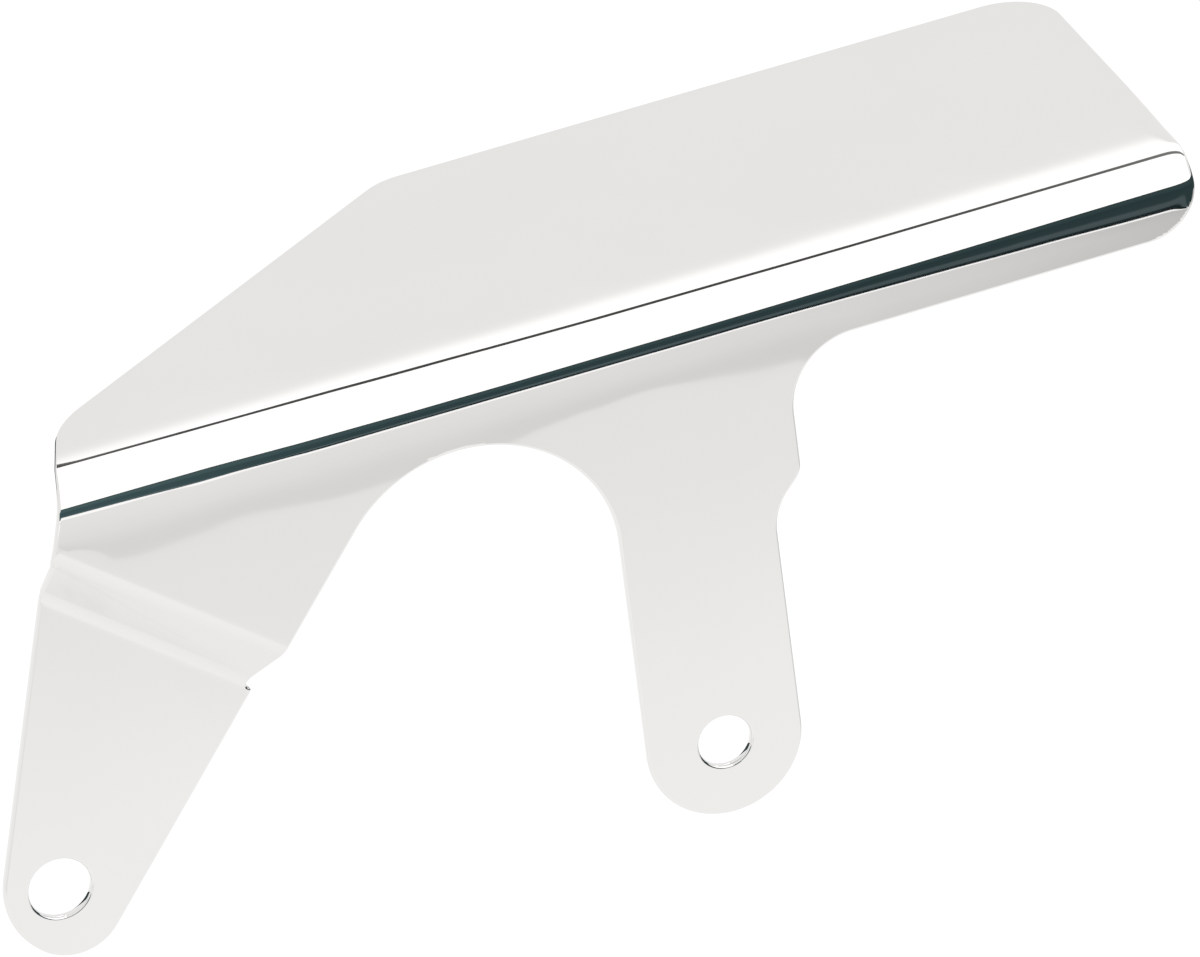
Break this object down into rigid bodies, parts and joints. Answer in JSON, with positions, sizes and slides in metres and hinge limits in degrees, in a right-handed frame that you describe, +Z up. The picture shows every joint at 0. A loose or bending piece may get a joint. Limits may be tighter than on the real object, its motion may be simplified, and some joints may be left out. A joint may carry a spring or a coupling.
{
  "type": "belt guard",
  "caption": "Folded sheet-metal upper belt guard: a bevelled roof flange and a side plate with a plain leg and a stepped leg, each with a bolt hole, polished and chrome plated.",
  "frame": {"origin": "centre of the plain leg's hole, on the back face of the leg where it meets its boss", "axes": "+X along the long fold towards the square end, +Y from the side plate in under the roof, +Z up through the roof"},
  "size_m": [0.2078, 0.069, 0.0905],
  "materials": {
    "chrome_plate": "polished chrome plate on steel sheet"
  },
  "bodies": {
    "root": {"belt_guard": "chrome_plate"}
  },
  "joints": []
}
